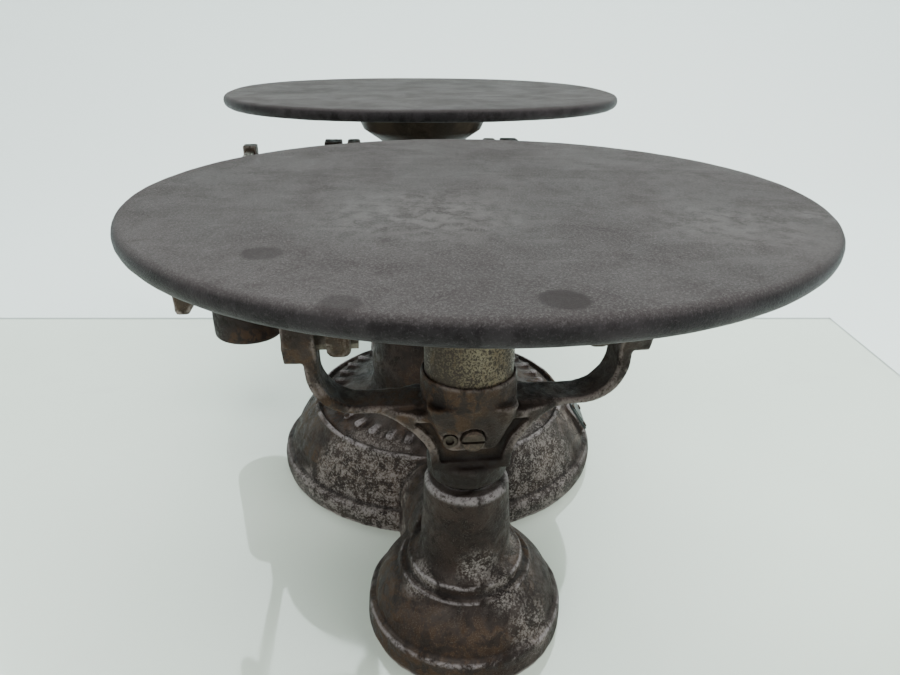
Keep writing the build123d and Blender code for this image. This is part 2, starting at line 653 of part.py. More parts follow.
with BuildPart() as carrier:
    with BuildSketch(Plane.YZ):
        strap_section()
        mirror(about=Plane.YZ)
    extrude(amount=STRAP_HALF, both=True)
    add(web.part)
    add(web_rim.part)
    for side in (-1, 1):
        with BuildSketch(across(side * EAR_IN)):
            with BuildLine():
                Polyline((-8.5, -14), (8.5, -14), (12, -5), (12, 12), (9, 19), (-9, 19), (-12, 12),
                         (-12, -5), close=True)
            make_face()
        extrude(amount=-side * (EAR_OUT - EAR_IN))
    with BuildSketch(Plane.XZ):
        hub_profile()
    revolve(axis=Axis.Z)
    add(boss.part)
    with BuildSketch(Plane.XZ):
        collar_profile()
    revolve(axis=Axis.Z)
    # spot faces for the set screw and the dowel
    with BuildSketch(Plane.YZ.offset(SCREW_FACE)):
        with Locations((0, SCREW_Z)):
            Circle(SCREW_R + 0.5)
        with Locations((DOWEL_Y, SCREW_Z - 0.4)):
            Circle(DOWEL_R + 0.5)
    extrude(amount=10.0, mode=Mode.SUBTRACT)
    # socket for the plate's post, bore for the stem, holes for the set screw and the dowel
    with BuildSketch(Plane.XY.offset(SOCKET_FLOOR)):
        Circle(SOCKET_R)
    extrude(amount=RIM_TOP - SOCKET_FLOOR + 1, mode=Mode.SUBTRACT)
    with BuildSketch(Plane.XY.offset(COLLAR_BOTTOM - 1)):
        Circle(STEM_R)
    extrude(amount=STEM_TOP - COLLAR_BOTTOM + 1, mode=Mode.SUBTRACT)
    with BuildSketch(Plane.YZ.offset(STEM_R - 1)):
        with Locations((0, SCREW_Z)):
            Circle(2.5)
    extrude(amount=15.0, mode=Mode.SUBTRACT)
    with BuildSketch(Plane.YZ.offset(SCREW_FACE - 6)):
        with Locations((DOWEL_Y, SCREW_Z - 0.4)):
            Circle(2.0)
    extrude(amount=12.0, mode=Mode.SUBTRACT)
    for side in (-1, 1):
        with BuildSketch(across(side * (EAR_IN - 1))):
            with Locations((0, -1.5)):
                Rectangle(2 * SLOT_HALF, 19.0)
        extrude(amount=-side * (EAR_OUT - EAR_IN + 2), mode=Mode.SUBTRACT)

with BuildPart() as carrier_steels:
    for side in (-1, 1):
        with BuildSketch(across(side * STEEL_IN)):
            add(steel_section(-1))
        extrude(amount=-side * (STEEL_OUT - STEEL_IN))

with BuildPart() as stem:
    with BuildSketch(Plane.XY.offset(-UPRIGHT + 12)):
        Circle(STEM_R - 0.02)
    extrude(amount=STEM_TOP + UPRIGHT - 12 - 0.1)
    with BuildSketch(Plane.XY.offset(-UPRIGHT - 9)):
        RectangleRounded(18.0, 20.0, 3.0)
    extrude(amount=24.0)
    with BuildSketch(Plane.XZ.offset(-4.6)):
        with Locations((0, -UPRIGHT - 1)):
            Rectangle(24.0, 24.0)
    extrude(amount=9.2, mode=Mode.SUBTRACT)
    with BuildSketch(Plane.XZ.offset(-15)):
        with Locations((0, -UPRIGHT)):
            Circle(3.02)
    extrude(amount=30.0, mode=Mode.SUBTRACT)

with BuildPart() as stem_pin:
    with BuildSketch(Plane.XZ.offset(-10.5)):
        with Locations((0, -UPRIGHT)):
            Circle(3.0)
    extrude(amount=21.0)

with BuildPart() as set_screw:
    with BuildSketch(Plane.YZ.offset(STEM_R)):
        with Locations((0, SCREW_Z)):
            Circle(2.48)
    extrude(amount=SCREW_FACE - STEM_R)
    with BuildSketch(Plane.YZ.offset(SCREW_FACE)):
        with Locations((0, SCREW_Z)):
            Circle(SCREW_R)
    extrude(amount=4.8)
    chamfer(set_screw.edges().group_by(Axis.X)[-1], length=0.8)
    with BuildSketch(Plane.YZ.offset(SCREW_FACE + 3.2)):
        with Locations((0, SCREW_Z)):
            Rectangle(12.0, 1.3)
    extrude(amount=3.0, mode=Mode.SUBTRACT)

with BuildPart() as dowel:
    with BuildSketch(Plane.YZ.offset(SCREW_FACE - 6)):
        with Locations((DOWEL_Y, SCREW_Z - 0.4)):
            Circle(1.98)
    extrude(amount=6.0)
    with BuildSketch(Plane.YZ.offset(SCREW_FACE)):
        with Locations((DOWEL_Y, SCREW_Z - 0.4)):
            Circle(DOWEL_R)
    extrude(amount=2.4)
    with BuildSketch(Plane.YZ.offset(SCREW_FACE + 1.0)):
        with Locations((DOWEL_Y, SCREW_Z - 0.4)):
            Circle(1.9)
    extrude(amount=3.0, mode=Mode.SUBTRACT)

for plate, place in ENDS.items():
    save(carrier.part.moved(place), f"{plate}_carrier")
    save(carrier_steels.part.moved(place), f"{plate}_carrier_steels")
    save(stem.part.moved(place), f"{plate}_stem")
    save(stem_pin.part.moved(place), f"{plate}_stem_pin")
    save(set_screw.part.moved(place), f"{plate}_set_screw")
    save(dowel.part.moved(place), f"{plate}_dowel")

# ---------------------------------------------------------------- check rod, in its own frame

with BuildPart() as check_rod:
    with BuildSketch(Plane.XZ.offset(-4)):
        Rectangle(2 * ARM, 12.0)
        Circle(9.0)
        with Locations((-ARM, 0), (ARM, 0)):
            Circle(8.0)
        Circle(STUD_R + 0.05, mode=Mode.SUBTRACT)
        with Locations((-ARM, 0), (ARM, 0)):
            Circle(3.4, mode=Mode.SUBTRACT)
    extrude(amount=8.0)
save(check_rod.part.moved(ON_ROD), "check_rod")

# ---------------------------------------------------------------- plates, origin at the end knife edge

def plate_neck():
    """Flared neck under a plate, bored for its post."""
    with BuildSketch(Plane.XZ) as neck:
        with BuildLine():
            Polyline((POST_R, PLATE_UNDER + 3), (POST_R, NECK_LOW), (23.5, NECK_LOW), (24.5, NECK_LOW + 1))
            Spline((24.5, NECK_LOW + 1), (27.0, 12.0), (33.0, 18.5), (48.0, 29.0), (57.0, 38.0),
                   (63.0, PLATE_UNDER + 3))
            Line((63.0, PLATE_UNDER + 3), (POST_R, PLATE_UNDER + 3))
        make_face()
    revolve(neck.sketch, axis=Axis.Z)


def oblong_outline(shrink):
    """Squared-off oval outline of the larger plate, set in by the given amount."""
    def corner(turn):
        c = math.cos(turn)
        s = math.sin(turn)
        x = math.copysign(abs(c) ** (2 / OBLONG_POWER), c) * (OBLONG_X - shrink)
        y = math.copysign(abs(s) ** (2 / OBLONG_POWER), s) * (OBLONG_Y - shrink)
        return (x, y)

    steps = 32
    with BuildLine() as outline:
        Spline(*[corner(2 * math.pi * i / steps) for i in range(steps)], periodic=True)
    make_face(outline.edges())


with BuildPart() as round_plate:
    with BuildSketch(Plane.XZ):
        with BuildLine():
            Polyline((0, PLATE_UNDER + 2.4), (ROUND_R - 11, PLATE_UNDER + 2.4), (ROUND_R - 9, PLATE_UNDER),
                     (ROUND_R - 4, PLATE_UNDER))
            ThreePointArc((ROUND_R - 4, PLATE_UNDER), (ROUND_R, PLATE_UNDER + 4.6),
                          (ROUND_R - 3.2, PLATE_TOP))
            Polyline((ROUND_R - 3.2, PLATE_TOP), (0, PLATE_TOP), (0, PLATE_UNDER + 2.4))
        make_face()
    revolve(axis=Axis.Z)
    plate_neck()
save(round_plate.part.moved(ENDS["round"]), "round_plate")

with BuildPart() as oblong_plate:
    with BuildSketch(Plane.XY.offset(PLATE_UNDER)):
        oblong_outline(0)
    extrude(amount=PLATE_TOP - PLATE_UNDER)
    fillet(oblong_plate.edges().group_by(Axis.Z)[-1], radius=3.2)
    fillet(oblong_plate.edges().group_by(Axis.Z)[0], radius=3.4)
    with BuildSketch(Plane.XY.offset(PLATE_UNDER)):
        oblong_outline(11.0)
    extrude(amount=2.4, mode=Mode.SUBTRACT)
    plate_neck()
save(oblong_plate.part.moved(ENDS["oblong"]), "oblong_plate")

with BuildPart() as post:
    with BuildSketch(Plane.XY.offset(SOCKET_FLOOR + 0.1)):
        Circle(POST_R)
    extrude(amount=POST_TOP - SOCKET_FLOOR - 0.1)
    fillet(post.edges().group_by(Axis.Z)[0], radius=1.5)
    with BuildSketch(Plane.XY.offset(SOCKET_FLOOR + 4)):
        Circle(POST_R - 4)
    extrude(amount=POST_TOP - SOCKET_FLOOR, mode=Mode.SUBTRACT)
save(post.part.moved(ENDS["round"]), "round_plate_post")
save(post.part.moved(ENDS["oblong"]), "oblong_plate_post")
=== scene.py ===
import math

import bpy
import numpy as np
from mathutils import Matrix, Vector, noise


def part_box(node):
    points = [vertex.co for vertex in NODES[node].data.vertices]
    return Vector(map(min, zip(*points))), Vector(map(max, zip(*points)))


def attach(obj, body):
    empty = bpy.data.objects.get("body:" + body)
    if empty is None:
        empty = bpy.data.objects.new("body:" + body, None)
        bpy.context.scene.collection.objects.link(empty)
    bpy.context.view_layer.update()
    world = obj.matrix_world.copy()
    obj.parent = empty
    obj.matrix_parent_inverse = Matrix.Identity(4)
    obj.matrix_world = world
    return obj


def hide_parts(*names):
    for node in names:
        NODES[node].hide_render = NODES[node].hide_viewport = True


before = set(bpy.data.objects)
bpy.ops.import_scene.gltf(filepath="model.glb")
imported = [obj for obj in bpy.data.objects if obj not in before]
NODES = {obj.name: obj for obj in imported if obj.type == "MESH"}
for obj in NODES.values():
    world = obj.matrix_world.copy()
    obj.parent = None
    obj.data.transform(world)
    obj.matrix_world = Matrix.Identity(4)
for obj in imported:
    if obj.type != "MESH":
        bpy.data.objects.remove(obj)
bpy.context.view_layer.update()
MM = 0.001


# ---------------------------------------------------------------- camera, lights and stage

def aim(obj, target):
    """Turn a camera or a light towards a point."""
    obj.rotation_euler = (Vector(target) - obj.location).to_track_quat("-Z", "Y").to_euler()


def make_camera():
    """Eye level just above the plates, at the round plate's end and a little to its left."""
    data = bpy.data.cameras.new("camera")
    data.sensor_width = 36.0
    data.lens = 26.56
    camera = bpy.data.objects.new("camera", data)
    bpy.context.scene.collection.objects.link(camera)
    pitch = math.radians(25.1)
    yaw = 0.108
    roll = 0.009
    ahead = Vector((-math.cos(yaw) * math.cos(pitch), math.sin(yaw) * math.cos(pitch), -math.sin(pitch)))
    camera.location = (0.4206, -0.0376, 0.2875)
    turn = ahead.to_track_quat("-Z", "Y").to_matrix().to_4x4()
    camera.rotation_euler = (turn @ camera.matrix_basis.Rotation(roll, 4, "Z")).to_euler()
    bpy.context.scene.camera = camera


def area_light(name, location, target, size, power, colour):
    data = bpy.data.lights.new(name, "AREA")
    data.shape = "DISK"
    data.size = size
    data.energy = power
    data.color = colour
    light = bpy.data.objects.new(name, data)
    light.location = location
    bpy.context.scene.collection.objects.link(light)
    aim(light, target)


def make_lights():
    middle = (0, 0, 0.15)
    area_light("window", (0.6, 1.5, 1.5), middle, 1.4, 26, (1.0, 1.0, 0.98))
    area_light("near_side", (1.1, -0.7, 0.8), middle, 1.0, 9, (1.0, 0.99, 0.97))
    area_light("ceiling", (0.1, 0.2, 2.4), middle, 2.4, 68, (0.98, 1.0, 0.99))
    area_light("far_side", (-1.3, -1.4, 1.2), middle, 1.2, 8, (0.97, 0.99, 1.0))
    world = bpy.data.worlds.new("studio")
    bpy.context.scene.world = world
    world.use_nodes = True
    background = world.node_tree.nodes["Background"]
    background.inputs["Color"].default_value = (0.90, 0.92, 0.91, 1)
    background.inputs["Strength"].default_value = 0.66


def stage_mesh(name, corners, faces, material):
    mesh = bpy.data.meshes.new(name)
    mesh.from_pydata(corners, [], faces)
    mesh.shade_smooth()
    mesh.materials.append(material)
    obj = bpy.data.objects.new(name, mesh)
    bpy.context.scene.collection.objects.link(obj)
    return obj


def make_stage():
    """A pale glossy board on a paler backdrop that sweeps up into a wall."""
    board = Shader("glossy_board")
    tone = board.noise(2.2, 3, 0.5)
    smears = board.noise(9.0, 4, 0.6, 1.2)
    ground = board.mix(board.steps(tone, 0.35, 0.65), (0.715, 0.815, 0.710), (0.78, 0.875, 0.775))
    smeared = board.both(board.steps(smears, 0.60, 0.66), 0.10)
    board.to("Base Color", board.mix(smeared, ground, (0.60, 0.63, 0.59)))
    board.to("Roughness", board.blend(board.steps(smears, 0.45, 0.7), 0.04, 0.09))
    board.to("IOR", 2.6)
    thick = 0.02
    back_left = (-0.315, -0.85)
    back_right = (-0.204, 0.451)
    front_right = (1.30, 0.245)
    front_left = (1.30, -1.40)
    outline = [back_left, back_right, front_right, front_left]
    top = [(x, y, 0.0) for x, y in outline]
    under = [(x, y, -thick) for x, y in outline]
    sides = [(0, 1, 5, 4), (1, 2, 6, 5), (2, 3, 7, 6), (3, 0, 4, 7)]
    slab = stage_mesh("board", top + under, [(3, 2, 1, 0)] + sides, board.material)
    slab.data.shade_flat()
    # thin grey strips of painted shade lie along the back seam and the right edge of the board
    edge_shade = Shader("board_edge")
    edge_shade.to("Base Color", edge_shade.mix(edge_shade.noise(14.0, 3), (0.40, 0.46, 0.46), (0.52, 0.58, 0.57)))
    edge_shade.to("Roughness", 0.5)
    lift = 0.0004
    wide = 0.0030
    inner_right = (back_right[0] + wide, back_right[1] - wide / 5)
    inner_left = (back_left[0] + wide, back_left[1])
    strip = [(x, y, lift) for x, y in (back_left, back_right, inner_right, inner_left)]
    stage_mesh("back_edge", strip, [(3, 2, 1, 0)], edge_shade.material)
    inner_front = (front_right[0], front_right[1] - wide / 2)
    inner_back = (back_right[0], back_right[1] - wide / 2)
    strip = [(x, y, lift) for x, y in (back_right, front_right, inner_front, inner_back)]
    stage_mesh("right_edge", strip, [(3, 2, 1, 0)], edge_shade.material)

    paper = Shader("backdrop_paper")
    clouds = paper.noise(1.1, 2, 0.5)
    paper.to("Base Color", paper.mix(clouds, (0.865, 0.965, 0.95), (0.89, 0.985, 0.97)))
    paper.to("Roughness", 0.85)
    reach = 3.2
    wall_at = -1.15
    bend = 0.45
    rows = [(reach, -thick), (0.6, -thick), (-0.3, -thick), (wall_at + bend, -thick)]
    bend_steps = 12
    for step in range(1, bend_steps + 1):
        angle = math.radians(90 * step / bend_steps)
        rows.append((wall_at + bend - bend * math.sin(angle), bend - bend * math.cos(angle) - thick))
    rows += [(wall_at, 1.2), (wall_at, 3.0)]
    corners = [(x, y, z) for x, z in rows for y in (-reach, reach)]
    faces = [(2 * i, 2 * i + 1, 2 * i + 3, 2 * i + 2) for i in range(len(rows) - 1)]
    stage_mesh("backdrop", corners, faces, paper.material)


# ---------------------------------------------------------------- shader helper

class Shader:
    """One material, built node by node. Colours are linear. Scales are per metre."""

    def __init__(self, name):
        self.material = bpy.data.materials.new(name)
        self.material.use_nodes = True
        self.tree = self.material.node_tree
        self.bsdf = self.tree.nodes["Principled BSDF"]
        self.coords = self.tree.nodes.new("ShaderNodeTexCoord").outputs["Object"]

    def link(self, source, socket):
        self.tree.links.new(source, socket)

    def feed(self, socket, value):
        """Set a socket from a number, a colour or another node's output."""
        if isinstance(value, bpy.types.NodeSocket):
            self.link(value, socket)
        elif isinstance(value, tuple):
            socket.default_value = (*value, 1.0)[: len(socket.default_value)]
        else:
            socket.default_value = value

    def to(self, name, value):
        self.feed(self.bsdf.inputs[name], value)

    def noise(self, scale, detail=4.0, rough=0.55, distortion=0.0, shift=(0, 0, 0), stretch=(1, 1, 1)):
        mapping = self.tree.nodes.new("ShaderNodeMapping")
        mapping.inputs["Location"].default_value = shift
        mapping.inputs["Scale"].default_value = stretch
        self.link(self.coords, mapping.inputs["Vector"])
        node = self.tree.nodes.new("ShaderNodeTexNoise")
        node.inputs["Scale"].default_value = scale
        node.inputs["Detail"].default_value = detail
        node.inputs["Roughness"].default_value = rough
        node.inputs["Distortion"].default_value = distortion
        self.link(mapping.outputs["Vector"], node.inputs["Vector"])
        return node.outputs["Fac"]

    def steps(self, value, low, high):
        """Smooth step from 0 at low to 1 at high."""
        node = self.tree.nodes.new("ShaderNodeMapRange")
        node.interpolation_type = "SMOOTHSTEP"
        node.inputs["From Min"].default_value = low
        node.inputs["From Max"].default_value = high
        self.feed(node.inputs["Value"], value)
        return node.outputs["Result"]

    def maths(self, operation, a, b):
        node = self.tree.nodes.new("ShaderNodeMath")
        node.operation = operation
        self.feed(node.inputs[0], a)
        self.feed(node.inputs[1], b)
        return node.outputs["Value"]

    def both(self, a, b):
        return self.maths("MULTIPLY", a, b)

    def either(self, a, b):
        return self.maths("MAXIMUM", a, b)

    def mix(self, amount, a, b):
        node = self.tree.nodes.new("ShaderNodeMix")
        node.data_type = "RGBA"
        self.feed(node.inputs["Factor"], amount)
        self.feed(node.inputs["A"], a)
        self.feed(node.inputs["B"], b)
        return node.outputs["Result"]

    def blend(self, amount, a, b):
        """Mix two numbers."""
        node = self.tree.nodes.new("ShaderNodeMix")
        self.feed(node.inputs["Factor"], amount)
        self.feed(node.inputs["A"], a)
        self.feed(node.inputs["B"], b)
        return node.outputs["Result"]

    def facing(self, axis, low, high):
        """1 where the surface faces along X, Y or Z (axis 0, 1 or 2)."""
        split = self.tree.nodes.new("ShaderNodeSeparateXYZ")
        self.link(self.tree.nodes.new("ShaderNodeTexCoord").outputs["Normal"], split.inputs["Vector"])
        return self.steps(split.outputs[axis], low, high)

    def along(self, axis, low, high):
        """0 below low and 1 above high on X, Y or Z (axis 0, 1 or 2)."""
        split = self.tree.nodes.new("ShaderNodeSeparateXYZ")
        self.link(self.coords, split.inputs["Vector"])
        return self.steps(split.outputs[axis], low, high)

    def attribute(self, name):
        node = self.tree.nodes.new("ShaderNodeAttribute")
        node.attribute_name = name
        return node.outputs["Fac"]

    def near(self, point, inner, outer):
        """1 within inner of a point, 0 beyond outer."""
        node = self.tree.nodes.new("ShaderNodeVectorMath")
        node.operation = "DISTANCE"
        self.link(self.coords, node.inputs[0])
        node.inputs[1].default_value = point
        return self.steps(node.outputs["Value"], outer, inner)

    def spot(self, point, inner, outer, ragged):
        """Like near, with an edge that the ragged value pushes in and out."""
        close = self.near(point, inner, outer)
        return self.both(self.maths("ADD", close, ragged), close)

    def bump(self, *layers):
        """Stack bump layers, each (height, strength, distance)."""
        normal = None
        for height, strength, distance in layers:
            node = self.tree.nodes.new("ShaderNodeBump")
            node.inputs["Strength"].default_value = strength
            node.inputs["Distance"].default_value = distance
            self.feed(node.inputs["Height"], height)
            if normal is not None:
                self.link(normal, node.inputs["Normal"])
            normal = node.outputs["Normal"]
        self.link(normal, self.bsdf.inputs["Normal"])


# ---------------------------------------------------------------- materials

def times(factor, colour):
    """A colour made darker or lighter by a factor."""
    return tuple(factor * c for c in colour)


def aged_iron(name, dark, brown, pale, speckle, rubbing, dust, shift, patches=(), floor=0.0, shade_below=None):
    """Old painted cast iron: brown ground, rubbed edges, rust and pale speckle over a grainy skin.

    patches are (point, inner, outer) places where the speckle gathers, floor is how dusty the foot of
    the casting is, and shade_below is (start height, full height, depth) of painted shade that darkens a
    casting below, where it sits in shade.
    """
    made = Shader(name)
    wear = made.attribute("wear")
    broad = made.noise(15, 3, 0.6, 0.5, shift)
    patch = made.noise(52, 5, 0.65, 0.7, shift)
    mottle = made.noise(180, 4, 0.68, 0.4, shift)
    grain = made.noise(820, 4, 0.80, 0.2, shift)
    fine = made.noise(1700, 2, 0.68, 0.0, shift)
    ground = made.mix(made.steps(patch, 0.36, 0.66), dark, brown)
    ground = made.mix(made.both(made.steps(mottle, 0.50, 0.66), 0.6), ground, times(0.4, dark))
    rusty = made.both(made.steps(broad, 0.48, 0.66), made.steps(mottle, 0.42, 0.60))
    ground = made.mix(made.both(rusty, 0.6), ground, (0.070, 0.040, 0.021))
    # pale specks gather in worn patches, and a little on the side that faces +Y
    lean = made.facing(1, -0.45, 0.95)
    start = 0.78 - 0.22 * speckle
    gather = made.maths("ADD", made.both(broad, 0.9), made.both(lean, 0.30))
    gather = made.steps(gather, start, start + 0.22)
    for point, inner, outer in patches:
        ragged = made.both(made.maths("SUBTRACT", patch, 0.5), 2.4)
        gather = made.either(gather, made.steps(made.spot(point, inner, outer, ragged), 0.05, 0.80))
    thick = made.maths("ADD", grain, made.both(made.maths("SUBTRACT", mottle, 0.5), 0.55))
    specks = made.both(made.steps(thick, 0.49, 0.58), gather)
    veil = made.both(made.steps(mottle, 0.44, 0.60), gather)
    flecks = made.both(made.steps(fine, 0.56, 0.63), made.steps(mottle, 0.42, 0.58))
    coloured = made.mix(made.both(flecks, 0.20 + 0.2 * speckle), ground, times(0.7, pale))
    coloured = made.mix(made.both(veil, 0.30), coloured, times(0.5, pale))
    coloured = made.mix(made.both(specks, 0.72), coloured, pale)
    # dust on what faces up and where the casting meets the floor, and darker in the hollows
    lies = made.both(made.facing(2, 0.35, 0.95), made.steps(patch, 0.38, 0.62))
    coloured = made.mix(made.both(lies, dust), coloured, times(0.7, pale))
    low = made.both(made.along(2, 0.0032, 0.0012), made.steps(mottle, 0.38, 0.52))
    coloured = made.mix(made.both(low, floor), coloured, times(1.1, pale))
    hollow = made.steps(wear, -0.12, -0.60)
    coloured = made.mix(made.both(hollow, 0.65), coloured, times(0.4, dark))
    # rubbed edges, broken by the patches
    rubbed = made.both(made.steps(wear, 0.20, 0.70), made.steps(patch, 0.42, 0.56))
    rubbed = made.both(rubbed, made.steps(thick, 0.36, 0.52))
    worn = (1.25 * pale[0], 1.27 * pale[1], 1.38 * pale[2])
    coloured = made.mix(made.both(rubbed, rubbing), coloured, worn)
    # painted shade: the casting darkens below a height, where it sits in shade
    if shade_below:
        shade_top, shade_full, depth = shade_below
        painted_shade = made.both(made.along(2, shade_top, shade_full), depth)
        coloured = made.mix(painted_shade, coloured, times(0.5, dark))
    made.to("Base Color", coloured)
    made.to("Roughness", made.blend(made.steps(mottle, 0.35, 0.65), 0.44, 0.74))
    made.to("Specular IOR Level", 0.18)
    made.bump((fine, 0.35, 0.0003), (grain, 0.65, 0.0007), (mottle, 0.45, 0.0013))
    return made.material


def plate_iron():
    """Seasoned grey plate, smooth and stained, with a darker skin on its rim and a brown neck."""
    made = Shader("seasoned_plate")
    wear = made.attribute("wear")
    rim = made.attribute("rim")
    cloud = made.noise(8, 4, 0.6, 0.8)
    blotch = made.noise(36, 5, 0.62, 0.5)
    mottle = made.noise(150, 4, 0.65, 0.4)
    grain = made.noise(1350, 4, 0.80)
    fine = made.noise(2600, 2, 0.70)
    streak = made.noise(110, 3, 0.55, 0.2, (0.3, 0.1, 0), (1.0, 0.22, 1.0))
    ground = made.mix(made.steps(cloud, 0.36, 0.66), (0.042, 0.0365, 0.0365), (0.060, 0.0535, 0.0535))
    ground = made.mix(made.both(made.steps(blotch, 0.53, 0.68), 0.45), ground, (0.029, 0.0245, 0.0245))
    ground = made.mix(made.both(made.steps(mottle, 0.52, 0.68), 0.38), ground, (0.033, 0.0265, 0.026))
    ground = made.mix(made.both(made.steps(grain, 0.49, 0.60), 0.52), ground, (0.110, 0.104, 0.103))
    ground = made.mix(made.both(made.steps(fine, 0.50, 0.60), 0.50), ground, (0.017, 0.014, 0.014))
    ground = made.mix(made.both(made.steps(streak, 0.56, 0.72), 0.18), ground, (0.105, 0.10, 0.098))
    # old stains, each a dark spot with a ragged edge
    for point, inner, outer, depth in (((0.2758, 0.0060, 0.228), 0.0050, 0.0085, 0.80),
                                       ((0.2336, -0.0717, 0.228), 0.0035, 0.0100, 0.62),
                                       ((0.2737, -0.0478, 0.228), 0.0030, 0.0085, 0.55),
                                       ((0.1200, -0.0650, 0.228), 0.0040, 0.0170, 0.24),
                                       ((-0.1900, 0.0550, 0.240), 0.0060, 0.0220, 0.24),
                                       ((-0.0900, -0.0700, 0.240), 0.0040, 0.0180, 0.20)):
        ragged = made.both(made.maths("SUBTRACT", mottle, 0.5), 1.9)
        stain = made.steps(made.spot(point, inner, outer, ragged), 0.10, 0.80)
        ground = made.mix(made.both(stain, depth), ground, (0.022, 0.018, 0.018))
    # pale rubbed places
    for point, inner, outer, depth in (((0.2050, 0.1167, 0.228), 0.004, 0.012, 0.40),
                                       ((0.1947, -0.0239, 0.228), 0.010, 0.055, 0.42),
                                       ((0.2153, 0.0799, 0.228), 0.008, 0.045, 0.36)):
        edge = made.both(made.near(point, inner, outer), made.steps(mottle, 0.35, 0.62))
        ground = made.mix(made.both(edge, depth), ground, (0.135, 0.13, 0.127))
    skin = made.mix(made.steps(blotch, 0.4, 0.65), (0.0075, 0.0063, 0.0070), (0.018, 0.0152, 0.0165))
    skin = made.mix(made.both(made.steps(grain, 0.54, 0.64), 0.28), skin, (0.070, 0.062, 0.064))
    under = made.steps(rim, 1.1, 1.9)
    neck = made.mix(made.steps(blotch, 0.40, 0.62), (0.024, 0.0165, 0.012), (0.055, 0.038, 0.027))
    neck = made.mix(made.both(made.steps(grain, 0.52, 0.62), 0.30), neck, (0.12, 0.095, 0.072))
    coloured = made.mix(under, made.mix(rim, ground, skin), neck)
    rubbed = made.both(made.steps(wear, 0.12, 0.50), made.steps(mottle, 0.38, 0.54))
    rubbed = made.both(rubbed, made.steps(rim, 1.9, 1.1))
    coloured = made.mix(made.both(rubbed, 0.62), coloured, (0.150, 0.145, 0.150))
    made.to("Base Color", coloured)
    matt = made.blend(made.steps(blotch, 0.35, 0.65), 0.58, 0.72)
    made.to("Roughness", made.blend(rim, matt, 0.42))
    made.to("Specular IOR Level", 0.07)
    made.bump((fine, 0.26, 0.0002), (grain, 0.50, 0.0005), (mottle, 0.18, 0.0010))
    return made.material


def plated_post():
    """Yellowed plating eaten through by brown rust specks, more so on the side away from +Y, which also
    gets painted shade.
    """
    made = Shader("speckled_plating")
    broad = made.noise(30, 3, 0.6, 0.3, (0.4, 0, 0))
    specks = made.noise(1000, 4, 0.78, 0.2)
    spots = made.noise(380, 3, 0.7, 0.3)
    runs = made.noise(260, 3, 0.6, 0.0, (0, 0, 0), (1, 1, 0.30))
    side = made.facing(1, 0.55, -0.85)
    plating = made.mix(made.steps(broad, 0.38, 0.62), (0.175, 0.148, 0.098), (0.095, 0.067, 0.031))
    # the side away from +Y darkens, partly browner with rust and partly painted shade, where the post
    # stands in shade under the plate
    plating = made.mix(made.both(side, 0.75), plating, (0.034, 0.024, 0.011))
    amount = made.maths("ADD", made.both(broad, 0.34), made.both(side, 0.10))
    amount = made.maths("ADD", amount, made.both(spots, 0.22))
    eaten = made.steps(made.maths("ADD", specks, amount), 0.745, 0.815)
    coloured = made.mix(eaten, plating, (0.020, 0.012, 0.006))
    coloured = made.mix(made.both(made.steps(runs, 0.54, 0.70), 0.50), coloured, (0.085, 0.056, 0.024))
    made.to("Base Color", coloured)
    made.to("Metallic", made.blend(eaten, 0.65, 0.05))
    made.to("Roughness", made.blend(eaten, 0.30, 0.75))
    made.bump((eaten, 0.5, -0.0003), (runs, 0.15, 0.0003))
    return made.material


def worn_steel(name, tone, rust, rough=0.38):
    """Steel gone brown in patches, with fine drag marks."""
    made = Shader(name)
    patch = made.noise(130, 4, 0.65, 0.3)
    marks = made.noise(900, 2, 0.6, 0.0, (0, 0, 0), (0.2, 1, 1))
    spots = made.noise(700, 2, 0.7)
    bare = made.mix(made.steps(marks, 0.35, 0.65), times(0.8, tone), tone)
    start = 0.58 - 0.2 * rust
    browned = made.both(made.steps(patch, start, start + 0.17), made.steps(spots, 0.38, 0.6))
    made.to("Base Color", made.mix(browned, bare, (0.065, 0.042, 0.028)))
    made.to("Metallic", made.blend(browned, 0.85, 0.1))
    made.to("Roughness", made.blend(browned, rough, 0.75))
    made.bump((marks, 0.2, 0.0002), (spots, 0.2, 0.0003))
    return made.material


# ---------------------------------------------------------------- mesh helpers

def link_mesh(name, mesh):
    obj = bpy.data.objects.new(name, mesh)
    bpy.context.scene.collection.objects.link(obj)
    return obj


def coordinates(mesh):
    points = np.empty(len(mesh.vertices) * 3, np.float32)
    mesh.vertices.foreach_get("co", points)
    return points.reshape(-1, 3).astype(float)


def set_coordinates(mesh, points):
    mesh.vertices.foreach_set("co", points.astype(np.float32).ravel())
    mesh.update()


def vertex_normals(mesh):
    normals = np.empty(len(mesh.vertices) * 3, np.float32)
    mesh.vertex_normals.foreach_get("vector", normals)
    return normals.reshape(-1, 3).astype(float)


def relaxed(points, edges, rounds):
    """Points after each has been moved to the middle of its neighbours, a number of times."""
    count = np.bincount(edges.ravel(), minlength=len(points))[:, None].clip(1)
    for _ in range(rounds):
        total = np.empty_like(points)
        for axis in range(3):
            value = points[:, axis]
            total[:, axis] = np.bincount(edges[:, 0], value[edges[:, 1]], len(points))
            total[:, axis] += np.bincount(edges[:, 1], value[edges[:, 0]], len(points))
        points = 0.5 * points + 0.5 * total / count
    return points


def mark_wear(mesh, reach, rounds=24):
    """Store how far each point stands out of its surroundings: above 0 on edges, below 0 in hollows."""
    edges = np.empty(len(mesh.edges) * 2, np.int32)
    mesh.edges.foreach_get("vertices", edges)
    points = coordinates(mesh)
    away = points - relaxed(points, edges.reshape(-1, 2), rounds)
    value = (away * vertex_normals(mesh)).sum(1) / reach
    attribute = mesh.attributes.new("wear", "FLOAT", "POINT")
    attribute.data.foreach_set("value", value.astype(np.float32))


